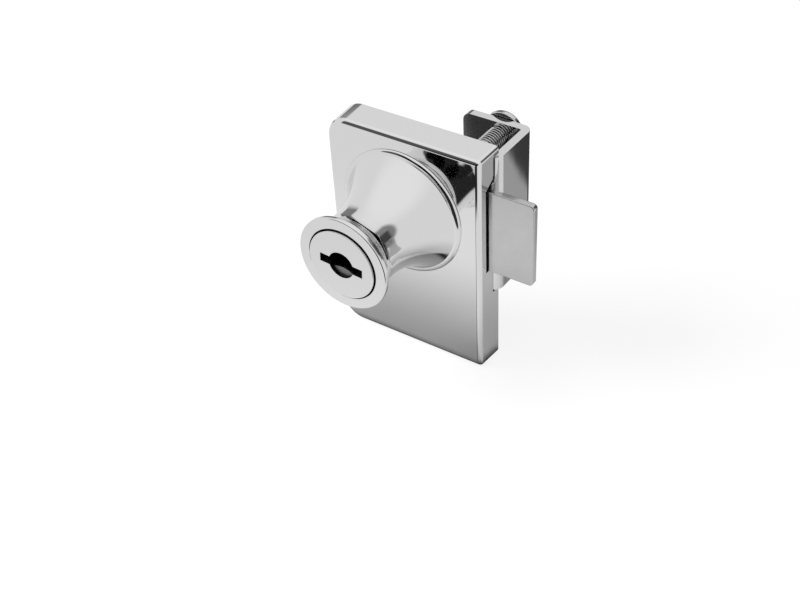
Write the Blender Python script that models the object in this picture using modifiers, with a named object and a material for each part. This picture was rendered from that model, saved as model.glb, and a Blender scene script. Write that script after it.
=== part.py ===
"""Clamp-on lock for double glass doors, shown locked, with its bolt out.

+X runs towards the bolt's nose, +Y into the door and +Z up. The origin is on the cylinder's axis, in the
plane where the lock seats on the glass.
"""

import math

import bmesh
import bpy
from mathutils import Vector

MM = 0.001
GAP = 0.3 * MM  # between pieces that seat on each other
RUN = 0.25 * MM  # radial clearance round a piece that turns or slides
WELD = 0.001 * MM
PAST = 1.0 * MM  # how far a cutter runs past the face that it opens
ARC_STEPS = 6  # straight pieces in a quarter turn of an outline
TURN_STEPS = 44
SMALL_TURN_STEPS = 24

# Bolt and its drive
BOLT_HEIGHT = 22.3 * MM
BOLT_THICKNESS = 1.7 * MM
BOLT_THROW = 12.15 * MM  # nose beyond the cover's side
BOLT_TRAVEL = 11.0 * MM
BOLT_CORNER = 1.1 * MM
BOLT_PLAY = 0.77 * MM  # between the bolt and the bracket behind it
SLOT_WALL = 4.0 * MM  # bolt left inside the drive slot
DRIVE_PIN_R = 1.5 * MM
PIN_PLAY = 0.3 * MM
BOLT_DROP = 0.25 * MM  # bolt and bracket sit this far below the cylinder's axis

# Bracket, folded from one sheet
SHEET = 2.09 * MM
BEND_R = 0.41 * MM  # inside the folds
GLASS_GAP = 11.67 * MM
WEB_STANDOUT = 1.51 * MM  # web's outer face beyond the cover's side
REAR_LEG = 17.8 * MM
FRONT_LEG_INSET = 2.6 * MM  # front leg's end short of the cover's left wall
LEG_CORNER = 2.0 * MM
SCREW_EDGE = 3.7 * MM  # from a bracket screw to the leg's top or bottom edge

# Screws that hold the bracket to the cover
BRACKET_SCREW_R = 1.5 * MM
BRACKET_SCREW_HEAD_R = 2.9 * MM
BRACKET_SCREW_LENGTH = 5.5 * MM
BRACKET_SCREW_SUNK = 0.1 * MM
BOSS_WALL = 1.0 * MM
BOSS_FROM_LEFT = 8.6 * MM

# Clamp screws and their caps
CLAMP_SCREW_R = 2.4 * MM
CLAMP_HEAD_R = 4.9 * MM
CLAMP_HEAD_HEIGHT = 2.6 * MM
CLAMP_FROM_WEB = 8.4 * MM
CLAMP_TIP_R = 1.2 * MM
CLAMP_TIP = 1.5 * MM
RECESS_WIDTH = 1.0 * MM
RECESS_SPAN = 4.6 * MM
RECESS_DEPTH = 1.5 * MM
RECESS_TURN = math.radians(17)  # how the screws happen to stand
CAP_R = 3.1 * MM
CAP_LENGTH = 2.2 * MM
CAP_STANDOFF = 0.4 * MM  # cap's face off the seat plane with the screw driven home

# Cover
WALL = 1.5 * MM
RIB_HEIGHT = 1.44 * MM
RIB_WIDTH = 1.2 * MM
RIB_INSET = 2.6 * MM  # rib's centre inside the bolt's edge
RAIL = 1.0 * MM
COVER_HEIGHT = 60.0 * MM
KNOB_FROM_LEFT = 20.6 * MM
KNOB_FROM_RIGHT = 21.5 * MM
LEFT_CORNER = 6.0 * MM
RIGHT_CORNER = 1.0 * MM
FRONT_ROUND = 1.1 * MM
DRAFT = 0.35 * MM
NOTCH_CHAMFER = 2.1 * MM  # height of the slope above the bolt slot

# Knob, one casting with the cover
KNOB_LENGTH = 23.8 * MM
RIM = 1.3 * MM
RIM_ROUND = 0.3 * MM
LIP = 2.8 * MM  # ring round the plug's face
NECK_WALL = 1.35 * MM
FLARE_LENGTH = 4.6 * MM
NECK_LENGTH = 2.1 * MM
BASE_R = 15.2 * MM
BEAD_WIDTH = 1.5 * MM
BEAD_HEIGHT = 0.9 * MM
KNOB_ROOT = 0.6 * MM  # knob sunk into the front wall of its own casting
SHOULDER_STEP = 0.35 * MM

# Key cylinder
CORE_R = 6.0 * MM
BARREL_WALL = 1.65 * MM
SEAT_LEDGE = 0.93 * MM
SEAT_FLANGE = 0.8 * MM
FACE_GAP = 0.3 * MM
FACE_PROUD = 0.45 * MM  # the face stands out of its ring
FACE_THICKNESS = 3.5 * MM
FACE_BEVEL = 0.15 * MM
CYLINDER_TILT = math.radians(4)
CIRCLIP_THICKNESS = 0.8 * MM
CIRCLIP_WIDTH = 2.45 * MM
CIRCLIP_GROOVE = 0.7 * MM
CIRCLIP_OPENING = math.radians(50)
BARREL_TIP = 0.8 * MM  # barrel beyond its circlip
BARREL_KEY_WIDTH = 2.0 * MM
BARREL_KEY_LENGTH = 3.0 * MM
BARREL_KEY_HEIGHT = 0.6 * MM

# Keyway and dust shutter
KEYHOLE_WIDTH = 11.6 * MM
KEYHOLE_HEIGHT = 2.3 * MM
KEYHOLE_R = 3.4 * MM
KEYHOLE_DEPTH = 2.8 * MM
KEYWAY_WIDTH = 9.2 * MM
KEYWAY_HEIGHT = 2.5 * MM
SHUTTER_SKIN = 0.5 * MM  # face in front of the shutter
CHAMBER_HALF = 3.6 * MM
CHAMBER_TOP = 2.5 * MM
CHAMBER_FLOOR = 4.0 * MM
SHUTTER_DROP = 3.75 * MM  # hinge below the keyway's centre
SHUTTER_HEIGHT = 2.7 * MM
SHUTTER_HALF = 3.3 * MM
SHUTTER_THICKNESS = 0.6 * MM
SHUTTER_CROWN_R = 5.5 * MM
KNUCKLE_R = 0.95 * MM
SHUTTER_PIN_R = 0.4 * MM
SHUTTER_PIN_LENGTH = 9.6 * MM
SHUTTER_SPRING_SPAN = 1.2 * MM
SHUTTER_WIRE_R = 0.1 * MM
SHUTTER_TURNS = 3

# Wafers and their springs
WAFER_COUNT = 5
WAFER_THICKNESS = 0.8 * MM
WAFER_HALF_HEIGHT = 3.2 * MM
WAFER_TRAVEL = 0.8 * MM
WINDOW_HALF_WIDTH = 4.3 * MM
WINDOW_HALF_HEIGHT = 1.4 * MM
LUG_WIDTH = 1.5 * MM
LUG_HEIGHT = 1.2 * MM
GROOVE_WALL = 0.7 * MM  # barrel left outside the wafer grooves
POCKET_LENGTH = 2.5 * MM
SPRING_R = 0.45 * MM
SPRING_WIRE_R = 0.1 * MM
SPRING_TURNS = 4
COIL_STEPS = 8

# Drive cam on the plug's tail
CAM_RIM = 0.8 * MM
CAM_THICKNESS = 2.8 * MM
STOP_DEPTH = 1.4 * MM
STOP_WIDTH = 1.6 * MM
CLIP_THICKNESS = 0.6 * MM
CLIP_SHOULDER = 1.1 * MM
CLIP_GROOVE = 0.6 * MM
CLIP_OPENING = math.radians(70)
TAIL_TIP = 0.6 * MM
TAIL_CLEARANCE = 0.44 * MM
TAIL_FLAT = 0.7 * MM

# Places that follow from the sizes, from the glass towards the front
BOLT_REAR = -(SHEET + BOLT_PLAY)
BOLT_FRONT = BOLT_REAR - BOLT_THICKNESS
INNER_FRONT = BOLT_FRONT - GAP - RIB_HEIGHT
FRONT = INNER_FRONT - WALL
KNOB_FRONT = FRONT - KNOB_LENGTH
TAIL_END = BOLT_FRONT - TAIL_CLEARANCE
CLIP_REAR = TAIL_END - TAIL_TIP
CLIP_FRONT = CLIP_REAR - CLIP_THICKNESS
CAM_REAR = CLIP_FRONT - GAP
CAM_STEP = CAM_REAR - CAM_THICKNESS
CAM_FRONT = CAM_STEP - STOP_DEPTH
BARREL_REAR = CAM_FRONT - GAP
CIRCLIP_REAR = BARREL_REAR - BARREL_TIP
CIRCLIP_FRONT = CIRCLIP_REAR - CIRCLIP_THICKNESS
SHOULDER = CIRCLIP_FRONT - GAP
FACE_FRONT = KNOB_FRONT - FACE_PROUD
FACE_REAR = FACE_FRONT + FACE_THICKNESS
BARREL_FRONT = FACE_REAR + GAP
SEAT_FLOOR = BARREL_FRONT + SEAT_FLANGE + GAP

# Radii of the cylinder and the knob
BARREL_BORE = CORE_R + RUN
BARREL_R = BARREL_BORE + BARREL_WALL
KNOB_BORE = BARREL_R + RUN
CIRCLIP_BORE = BARREL_R - CIRCLIP_GROOVE + RUN
CIRCLIP_R = CIRCLIP_BORE + CIRCLIP_WIDTH
FACE_R = BARREL_R + SEAT_LEDGE
SEAT_R = FACE_R + FACE_GAP
FLANGE_R = SEAT_R + LIP
NECK_R = KNOB_BORE + NECK_WALL
HOLLOW_R = BASE_R - WALL
PIN_ORBIT = BOLT_TRAVEL / 2
CAM_R = PIN_ORBIT + DRIVE_PIN_R + CAM_RIM
CLIP_R = PIN_ORBIT - DRIVE_PIN_R - GAP
TAIL_R = CLIP_R - CLIP_SHOULDER

# Along the bolt's travel. The slot is wider than the pin by what a crank and an even travel differ
YOKE_ANGLE = math.asin(2 / math.pi)
YOKE_SLACK = PIN_ORBIT * (2 * YOKE_ANGLE / math.pi - (1 - math.cos(YOKE_ANGLE)))
SLOT_HALF_WIDTH = DRIVE_PIN_R + YOKE_SLACK + PIN_PLAY
SLOT_HALF_HEIGHT = PIN_ORBIT + DRIVE_PIN_R + PIN_PLAY
LEFT = -KNOB_FROM_LEFT
RIGHT = KNOB_FROM_RIGHT
BOLT_NOSE = RIGHT + BOLT_THROW
BOLT_TAIL = PIN_ORBIT - SLOT_HALF_WIDTH - SLOT_WALL
WEB_OUTER = RIGHT + WEB_STANDOUT
WEB_INNER = WEB_OUTER - SHEET

# Heights
BOLT_TOP = BOLT_HEIGHT / 2 - BOLT_DROP
BOLT_BOTTOM = -BOLT_HEIGHT / 2 - BOLT_DROP
BOSS_R = BRACKET_SCREW_R + GAP + BOSS_WALL
BOSS_OFFSET = BOLT_HEIGHT / 2 + GAP + RAIL + BOSS_R - RAIL / 4
BRACKET_TOP = BOSS_OFFSET + SCREW_EDGE - BOLT_DROP
BRACKET_BOTTOM = -BOSS_OFFSET - SCREW_EDGE - BOLT_DROP
TOP = BRACKET_TOP + GAP + WALL
BOTTOM = TOP - COVER_HEIGHT

CLAMP_X = WEB_OUTER - CLAMP_FROM_WEB
CLAMP_HEIGHTS = {"upper": BOSS_OFFSET - BOLT_DROP, "lower": -BOSS_OFFSET - BOLT_DROP}
CAP_REAR = CAP_STANDOFF + CAP_LENGTH
SHUTTER_Y = FACE_FRONT + SHUTTER_SKIN + KNUCKLE_R + RUN / 2


def fresh_collection(name):
    collection = bpy.data.collections.new(name)
    bpy.context.scene.collection.children.link(collection)
    return collection


for leftover in list(bpy.data.objects):
    bpy.data.objects.remove(leftover)
PIECES = fresh_collection("double_glass_door_lock")
CUTTERS = fresh_collection("cutters")


def finish_material(name, colour, roughness, metallic):
    material = bpy.data.materials.new(name)
    material.use_nodes = True
    shader = material.node_tree.nodes["Principled BSDF"]
    shader.inputs["Base Color"].default_value = (*colour, 1)
    shader.inputs["Roughness"].default_value = roughness
    shader.inputs["Metallic"].default_value = metallic
    return material


def stand(name, data, location=(0, 0, 0), rotation=(0, 0, 0)):
    obj = bpy.data.objects.new(name, data)
    PIECES.objects.link(obj)
    obj.location = location
    obj.rotation_euler = rotation
    return obj


def as_cutter(obj):
    PIECES.objects.unlink(obj)
    CUTTERS.objects.link(obj)
    obj.hide_render = True
    obj.display_type = "WIRE"


def combine(obj, other, operation):
    step = obj.modifiers.new(other.name, "BOOLEAN")
    step.operation = operation
    step.solver = "EXACT"
    step.object = other
    as_cutter(other)


def cut(obj, *others):
    for other in others:
        combine(obj, other, "DIFFERENCE")


def join(obj, *others):
    for other in others:
        combine(obj, other, "UNION")


def dress(obj, colour, roughness, metallic=1.0):
    obj.data.materials.append(finish_material(obj.name, colour, roughness, metallic))
    obj.data.shade_smooth()
    obj.data.set_sharp_from_angle(angle=math.radians(30))
    return obj


def block(name, low, high):
    """A box between two corners."""
    bm = bmesh.new()
    bmesh.ops.create_cube(bm, size=1)
    low, high = Vector(low), Vector(high)
    bmesh.ops.scale(bm, vec=high - low, verts=bm.verts)
    bmesh.ops.translate(bm, vec=(low + high) / 2, verts=bm.verts)
    mesh = bpy.data.meshes.new(name)
    bm.to_mesh(mesh)
    return stand(name, mesh)


def rod(name, radius, start, end, segments=SMALL_TURN_STEPS):
    """A cylinder between two points."""
    start, end = Vector(start), Vector(end)
    bm = bmesh.new()
    bmesh.ops.create_cone(
        bm, cap_ends=True, segments=segments, radius1=radius, radius2=radius, depth=(end - start).length
    )
    mesh = bpy.data.meshes.new(name)
    bm.to_mesh(mesh)
    turn = (end - start).to_track_quat("Z", "Y").to_euler()
    return stand(name, mesh, (start + end) / 2, turn)


def turned(name, profile, steps=TURN_STEPS, closed=False):
    """A turned piece on the Y axis, from (radius, y) points that run from its front down its outer side."""
    mesh = bpy.data.meshes.new(name)
    edges = [(i, i + 1) for i in range(len(profile) - 1)]
    if closed:
        edges.append((len(profile) - 1, 0))
    mesh.from_pydata([(radius, 0, -y) for radius, y in profile], edges, [])
    obj = stand(name, mesh, rotation=(math.pi / 2, 0, 0))
    screw = obj.modifiers.new("Turn", "SCREW")
    screw.axis = "Z"
    screw.steps = screw.render_steps = steps
    screw.use_merge_vertices = True
    screw.merge_threshold = WELD
    return obj


def rounded(corners):
    """Points of an outline whose corners, given as (x, y, radius), are rounded."""
    points = []
    for i, (x, y, radius) in enumerate(corners):
        corner = Vector((x, y))
        if not radius:
            points.append(corner)
            continue
        before = (Vector(corners[i - 1][:2]) - corner).normalized()
        after = (Vector(corners[(i + 1) % len(corners)][:2]) - corner).normalized()
        half = before.angle(after) / 2
        centre = corner + (before + after).normalized() * radius / math.sin(half)
        start = corner + before * radius / math.tan(half) - centre
        sweep = start.angle_signed(corner + after * radius / math.tan(half) - centre)
        steps = max(2, round(ARC_STEPS * abs(sweep) / (math.pi / 2)))
        for step in range(steps + 1):
            angle = -sweep * step / steps
            points.append(
                centre
                + Vector(
                    (
                        start.x * math.cos(angle) - start.y * math.sin(angle),
                        start.x * math.sin(angle) + start.y * math.cos(angle),
                    )
                )
            )
    return points


FACINGS = {"Y": (math.pi / 2, 0, 0), "X": (math.pi / 2, 0, math.pi / 2), "Z": (0, 0, 0)}


def plate(name, points, low, high, facing="Y"):
    """A flat outline made solid between two levels.

    Its points are (x, z) on a plate that faces Y, (y, z) on one that faces X and (x, y) on one that faces Z.
    """
    curve = bpy.data.curves.new(name, "CURVE")
    curve.dimensions = "2D"
    curve.fill_mode = "BOTH"
    curve.extrude = (high - low) / 2
    spline = curve.splines.new("POLY")
    spline.points.add(len(points) - 1)
    for place, point in zip(spline.points, points):
        place.co = (point[0], point[1], 0, 1)
    spline.use_cyclic_u = True
    middle = (low + high) / 2
    location = {"X": (middle, 0, 0), "Y": (0, middle, 0), "Z": (0, 0, middle)}[facing]
    flat = stand(name + "_outline", curve, location, FACINGS[facing])
    return as_mesh(flat, name)


def as_mesh(curve_object, name):
    """The curve's solid as a mesh object, with its caps welded and its flat faces whole."""
    bpy.context.view_layer.update()
    graph = bpy.context.evaluated_depsgraph_get()
    mesh = bpy.data.meshes.new_from_object(curve_object.evaluated_get(graph))
    bm = bmesh.new()
    bm.from_mesh(mesh)
    bmesh.ops.remove_doubles(bm, verts=bm.verts, dist=WELD)
    bmesh.ops.dissolve_limit(bm, angle_limit=math.radians(0.5), verts=bm.verts, edges=bm.edges)
    bmesh.ops.recalc_face_normals(bm, faces=bm.faces)
    bm.to_mesh(mesh)
    bm.free()
    obj = stand(name, mesh)
    obj.matrix_world = curve_object.matrix_world
    bpy.data.objects.remove(curve_object)
    return obj


def wire(name, points, radius, location=(0, 0, 0)):
    """A round wire along the points."""
    curve = bpy.data.curves.new(name, "CURVE")
    curve.dimensions = "3D"
    curve.bevel_depth = radius
    curve.bevel_resolution = 1
    curve.use_fill_caps = True
    spline = curve.splines.new("POLY")
    spline.points.add(len(points) - 1)
    for place, point in zip(spline.points, points):
        place.co = (*point, 1)
    return stand(name, curve, location)


def round_edges(obj, width, segments, chosen):
    """Bevels the edges whose two ends, in world space, satisfy the test."""
    bpy.context.view_layer.update()
    world = obj.matrix_world
    bm = bmesh.new()
    bm.from_mesh(obj.data)
    edges = [e for e in bm.edges if chosen(world @ e.verts[0].co, world @ e.verts[1].co)]
    bmesh.ops.bevel(bm, geom=edges, offset=width, segments=segments, profile=0.5, affect="EDGES")
    bm.to_mesh(obj.data)
    bm.free()


def same(a, b):
    return abs(a - b) < WELD


def tangent_arc(neck_r, neck_y, end_r, end_y, steps):
    """(radius, y) points of the arc that leaves the neck along its side and reaches the end point."""
    rise, run = end_r - neck_r, end_y - neck_y
    arc_r = (rise**2 + run**2) / (2 * rise)
    whole = math.asin(run / arc_r)
    angles = [whole * step / steps for step in range(steps + 1)]
    return [(neck_r + arc_r * (1 - math.cos(a)), neck_y + arc_r * math.sin(a)) for a in angles]


def sweep_profile():
    """The knob's neck widening to its base."""
    neck_end = KNOB_FRONT + RIM + FLARE_LENGTH + NECK_LENGTH
    return tangent_arc(NECK_R, neck_end, BASE_R, FRONT - BEAD_HEIGHT, 9)


def knob_profile():
    """The knob's outside, from the rim down to the root."""
    rim_rear = KNOB_FRONT + RIM
    flare = tangent_arc(NECK_R, -(rim_rear + FLARE_LENGTH), FLANGE_R - RIM_ROUND, -rim_rear, 5)
    bead = [
        (BASE_R + BEAD_WIDTH * math.sin(a), FRONT - BEAD_HEIGHT * math.cos(a))
        for a in (math.radians(30 * step) for step in range(1, 4))
    ]
    root = FRONT + KNOB_ROOT
    return [
        (0, KNOB_FRONT),
        (FLANGE_R - RIM_ROUND, KNOB_FRONT),
        (FLANGE_R, KNOB_FRONT + RIM_ROUND),
        (FLANGE_R, rim_rear - RIM_ROUND),
        *[(r, -y) for r, y in reversed(flare)],
        *sweep_profile(),
        *bead,
        (BASE_R + BEAD_WIDTH - KNOB_ROOT / 2, root),
        (0, root),
    ]


def hollow_profile():
    """What is open inside the knob: the plug's seat, the barrel's bore and the hollow behind its shoulder.
    The hollow leaves room for the snap ring."""
    ring_room = CIRCLIP_R + GAP
    hollow = [(max(r - WALL, ring_room), y) for r, y in sweep_profile() if y > SHOULDER + WALL / 2]
    return [
        (0, KNOB_FRONT - PAST),
        (SEAT_R, KNOB_FRONT - PAST),
        (SEAT_R, SEAT_FLOOR),
        (KNOB_BORE, SEAT_FLOOR),
        (KNOB_BORE, SHOULDER),
        (max(hollow[0][0] - SHOULDER_STEP, ring_room), SHOULDER),
        *hollow,
        (max(HOLLOW_R, ring_room), INNER_FRONT + PAST),
        (0, INNER_FRONT + PAST),
    ]


def cover_outline(inset):
    left, right = LEFT + inset, RIGHT - inset
    top, bottom = TOP - inset, BOTTOM + inset
    left_r, right_r = LEFT_CORNER - inset, max(RIGHT_CORNER - inset, GAP)
    return rounded(
        [(left, bottom, left_r), (right, bottom, right_r), (right, top, right_r), (left, top, left_r)]
    )


def boss_places():
    """Axes of the bracket's screws, of which the right-hand two are opposite the clamp screws."""
    columns = (CLAMP_X, LEFT + BOSS_FROM_LEFT)
    return [(x, side * BOSS_OFFSET - BOLT_DROP) for x in columns for side in (1, -1)]


def side_notch():
    """What the right wall leaves open for the bracket's leg and the bolt, as seen from the side."""
    leg_front = -SHEET - GAP
    slot_front = BOLT_FRONT - GAP
    slot_top, slot_bottom = BOLT_TOP + GAP, BOLT_BOTTOM - GAP
    top, bottom = BRACKET_TOP + GAP, BRACKET_BOTTOM - GAP
    points = [
        (PAST, bottom),
        (leg_front, bottom),
        (leg_front, slot_bottom),
        (slot_front, slot_bottom),
        (slot_front, slot_top),
        (leg_front, slot_top + NOTCH_CHAMFER),
        (leg_front, top),
        (PAST, top),
    ]
    return plate("side_notch", points, RIGHT - WALL - GAP, RIGHT + WALL, "X")


def guide_rails():
    """Walls above and below the bolt, on both sides of the knob's hollow."""
    rails = []
    edge = BOLT_HEIGHT / 2 + GAP
    reach = math.sqrt(max(HOLLOW_R**2 - edge**2, 0)) + WALL
    spans = {"right": (reach, RIGHT - WALL / 2), "left": (LEFT + WALL / 2, -reach)}
    for side, (start, end) in spans.items():
        for place, sign in (("upper", 1), ("lower", -1)):
            z = sorted((sign * edge - BOLT_DROP, sign * (edge + RAIL) - BOLT_DROP))
            low = (start, INNER_FRONT - WALL / 2, z[0])
            high = (end, -SHEET - GAP, z[1])
            rails.append(block(f"{side}_{place}_rail", low, high))
    return rails


def slide_ribs():
    """Low ribs that the bolt's front face slides on."""
    ribs = []
    height = BOLT_HEIGHT / 2 - RIB_INSET
    reach = math.sqrt(max(HOLLOW_R**2 - height**2, 0)) + WALL
    for place, sign in (("upper", 1), ("lower", -1)):
        z = sign * height - BOLT_DROP
        low = (reach, INNER_FRONT - WALL / 2, z - RIB_WIDTH / 2)
        high = (RIGHT - WALL / 2, INNER_FRONT + RIB_HEIGHT, z + RIB_WIDTH / 2)
        ribs.append(block(f"{place}_slide_rib", low, high))
    return ribs


def make_cover():
    cover = plate("cover", cover_outline(0), FRONT, 0)
    widen_rear(cover)
    round_edges(cover, FRONT_ROUND, 3, lambda a, b: same(a.y, FRONT) and same(b.y, FRONT))
    cut(cover, plate("cavity", cover_outline(WALL), INNER_FRONT, PAST))
    join(cover, turned("knob", knob_profile()))
    cut(cover, turned("knob_hollow", hollow_profile()))
    join(cover, *guide_rails(), *slide_ribs())
    for index, (x, z) in enumerate(boss_places()):
        foot = (x, INNER_FRONT - WALL / 2, z)
        join(cover, rod(f"boss_{index}", BOSS_R, foot, (x, -SHEET - GAP, z)))
    for index, (x, z) in enumerate(boss_places()):
        floor = -BRACKET_SCREW_SUNK - BRACKET_SCREW_LENGTH - GAP
        hole_r = BRACKET_SCREW_R + GAP
        cut(cover, rod(f"boss_hole_{index}", hole_r, (x, floor, z), (x, -SHEET + PAST, z)))
    cut(cover, side_notch(), barrel_key("key_slot", GAP))
    dress(cover, (0.78, 0.78, 0.79), 0.08)


def widen_rear(cover):
    """Moulding draft: the rear outline is a little larger than the front one."""
    bpy.context.view_layer.update()
    world = cover.matrix_world
    centre = Vector(((LEFT + RIGHT) / 2, 0, (TOP + BOTTOM) / 2))
    grow_x = 1 + 2 * DRAFT / (RIGHT - LEFT)
    grow_z = 1 + 2 * DRAFT / (TOP - BOTTOM)
    for vertex in cover.data.vertices:
        place = world @ vertex.co
        if same(place.y, 0):
            place.x = centre.x + (place.x - centre.x) * grow_x
            place.z = centre.z + (place.z - centre.z) * grow_z
            vertex.co = world.inverted() @ place


def barrel_key(name, clearance):
    """The rib under the barrel's flange that stops it turning, or the slot for it."""
    half = BARREL_KEY_WIDTH / 2 + clearance
    low = (-half, SEAT_FLOOR - GAP - clearance, -(BARREL_R + BARREL_KEY_HEIGHT + clearance))
    high = (half, SEAT_FLOOR - GAP + BARREL_KEY_LENGTH + clearance, -BARREL_R + 2 * RUN)
    return block(name, low, high)


def make_barrel(axis):
    groove_floor = BARREL_R - CIRCLIP_GROOVE
    profile = [
        (FACE_R, BARREL_FRONT),
        (FACE_R, BARREL_FRONT + SEAT_FLANGE),
        (BARREL_R, BARREL_FRONT + SEAT_FLANGE),
        (BARREL_R, CIRCLIP_FRONT - GAP / 2),
        (groove_floor, CIRCLIP_FRONT - GAP / 2),
        (groove_floor, CIRCLIP_REAR + GAP / 2),
        (BARREL_R, CIRCLIP_REAR + GAP / 2),
        (BARREL_R, BARREL_REAR),
        (BARREL_BORE, BARREL_REAR),
        (BARREL_BORE, BARREL_FRONT),
    ]
    barrel = turned("cylinder_barrel", profile, closed=True)
    join(barrel, barrel_key("barrel_key", 0))
    lug_low = (-STOP_WIDTH / 2, BARREL_REAR - GAP, BARREL_BORE + GAP)
    lug_high = (STOP_WIDTH / 2, CAM_STEP - GAP, BARREL_R - GAP)
    join(barrel, block("stop_lug", lug_low, lug_high))
    height = WAFER_HALF_HEIGHT + GAP
    groove_r = BARREL_R - GROOVE_WALL
    ends = (wafer_place(0) - WAFER_THICKNESS, wafer_place(WAFER_COUNT - 1) + WAFER_THICKNESS)
    groove = rod("wafer_groove", groove_r, (0, ends[0], 0), (0, ends[1], 0), TURN_STEPS)
    tilt_with(axis, groove)
    for name, sign in (("above", 1), ("below", -1)):
        z = sorted((sign * height, sign * (BARREL_R + PAST)))
        low = (-BARREL_R, ends[0] - PAST, z[0])
        side = block(f"groove_side_{name}", low, (BARREL_R, ends[1] + PAST, z[1]))
        tilt_with(axis, side)
        cut(groove, side)
    cut(barrel, groove)
    dress(barrel, (0.62, 0.6, 0.56), 0.35)
    return barrel


def tilt_with(axis, *objects):
    """Turns pieces of the cylinder with it, about its axis."""
    for obj in objects:
        obj.parent = axis


def make_circlip():
    section = [
        (CIRCLIP_R, CIRCLIP_FRONT),
        (CIRCLIP_R, CIRCLIP_REAR),
        (CIRCLIP_BORE, CIRCLIP_REAR),
        (CIRCLIP_BORE, CIRCLIP_FRONT),
    ]
    ring = turned("barrel_circlip", section, closed=True)
    cut(ring, ring_opening("circlip_opening", CIRCLIP_R, CIRCLIP_OPENING, CIRCLIP_FRONT, CIRCLIP_REAR))
    dress(ring, (0.32, 0.32, 0.34), 0.4)


def ring_opening(name, radius, angle, front, rear):
    """A wedge below the axis that opens a snap ring."""
    reach = 2 * radius
    half = reach * math.tan(angle / 2)
    return plate(name, [(0, 0), (-half, -reach), (half, -reach)], front - PAST, rear + PAST)


def wafer_place(index):
    """Middle of a wafer along the plug: the wafers share the core from the shutter's chamber to the ring."""
    first, last = chamber_rear() + GAP, SHOULDER
    pitch = (last - first) / WAFER_COUNT
    return first + pitch * (index + 0.5)


def chamber_rear():
    return SHUTTER_Y + SHUTTER_HEIGHT + GAP


def wafer_side(index):
    """Wafers face up and down in turn."""
    return 1 if index % 2 == 0 else -1


def plug_body():
    groove_floor = TAIL_R - CLIP_GROOVE
    profile = [
        (0, FACE_FRONT),
        (FACE_R - FACE_BEVEL, FACE_FRONT),
        (FACE_R, FACE_FRONT + FACE_BEVEL),
        (FACE_R, FACE_REAR),
        (CORE_R, FACE_REAR),
        (CORE_R, BARREL_REAR),
        (TAIL_R, BARREL_REAR),
        (TAIL_R, CLIP_FRONT - GAP / 2),
        (groove_floor, CLIP_FRONT - GAP / 2),
        (groove_floor, CLIP_REAR + GAP / 2),
        (TAIL_R, CLIP_REAR + GAP / 2),
        (TAIL_R, TAIL_END),
        (0, TAIL_END),
    ]
    return turned("plug", profile)


def make_plug(axis):
    plug = plug_body()
    half = KEYHOLE_WIDTH / 2
    keyhole_rear = FACE_FRONT + KEYHOLE_DEPTH
    low = (-half, FACE_FRONT - PAST, -KEYHOLE_HEIGHT / 2)
    openings = [block("keyhole", low, (half, keyhole_rear, KEYHOLE_HEIGHT / 2))]
    chamber_front = FACE_FRONT + SHUTTER_SKIN
    round_hole = ((0, FACE_FRONT - PAST, 0), (0, chamber_front + RUN / 2, 0))
    openings.append(rod("round_hole", KEYHOLE_R, *round_hole, TURN_STEPS))
    low = (-CHAMBER_HALF, chamber_front, -CHAMBER_FLOOR)
    openings.append(block("chamber", low, (CHAMBER_HALF, chamber_rear(), CHAMBER_TOP)))
    pocket_floor = -SHUTTER_DROP - KNUCKLE_R - RUN
    pocket_rear = SHUTTER_Y + KNUCKLE_R + RUN / 2
    low = (-CHAMBER_HALF, chamber_front, pocket_floor)
    openings.append(block("knuckle_pocket", low, (CHAMBER_HALF, pocket_rear, 0)))
    half = SHUTTER_PIN_LENGTH / 2 + GAP
    ends = ((-half, SHUTTER_Y, -SHUTTER_DROP), (half, SHUTTER_Y, -SHUTTER_DROP))
    openings.append(rod("pin_hole", SHUTTER_PIN_R + RUN, *ends, 12))
    half = KEYWAY_WIDTH / 2
    last = wafer_place(WAFER_COUNT - 1) + WAFER_THICKNESS
    low = (-half, chamber_rear() - GAP, -KEYWAY_HEIGHT / 2)
    openings.append(block("keyway", low, (half, last, KEYWAY_HEIGHT / 2)))
    for name, sign in (("left", -1), ("right", 1)):
        x = sorted((sign * (TAIL_R - TAIL_FLAT), sign * (TAIL_R + PAST)))
        low = (x[0], BARREL_REAR + GAP, -TAIL_R - PAST)
        openings.append(block(f"tail_flat_{name}", low, (x[1], TAIL_END + PAST, TAIL_R + PAST)))
    for index in range(WAFER_COUNT):
        openings += wafer_openings(index)
    cut(plug, *openings)
    tilt_with(axis, plug, *openings)
    dress(plug, (0.8, 0.8, 0.8), 0.1)
    return plug


def wafer_openings(index):
    """The slot for a wafer, with room for its lug, and the pocket for its spring."""
    y, side = wafer_place(index), wafer_side(index)
    half = WAFER_THICKNESS / 2 + RUN
    height = WAFER_HALF_HEIGHT + RUN
    low = (-CORE_R - PAST, y - half, -height)
    slot = block(f"wafer_slot_{index}", low, (CORE_R + PAST, y + half, height))
    lug_top = height + LUG_HEIGHT
    reach = LUG_WIDTH / 2 + WAFER_TRAVEL + GAP
    z = sorted((0, side * lug_top))
    pocket_half = SPRING_R + SPRING_WIRE_R + RUN
    x = sorted((side * reach, -side * (LUG_WIDTH / 2 + POCKET_LENGTH)))
    pocket = block(f"spring_pocket_{index}", (x[0], y - pocket_half, z[0]), (x[1], y + pocket_half, z[1]))
    return [slot, pocket]


def wafer_outline():
    """A disc with a flat top and bottom."""
    radius = CORE_R - RUN
    rise = math.asin(WAFER_HALF_HEIGHT / radius)
    angles = [-rise + 2 * rise * step / 8 for step in range(9)]
    right = [(radius * math.cos(a), radius * math.sin(a)) for a in angles]
    return right + [(-x, -z) for x, z in right]


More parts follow.
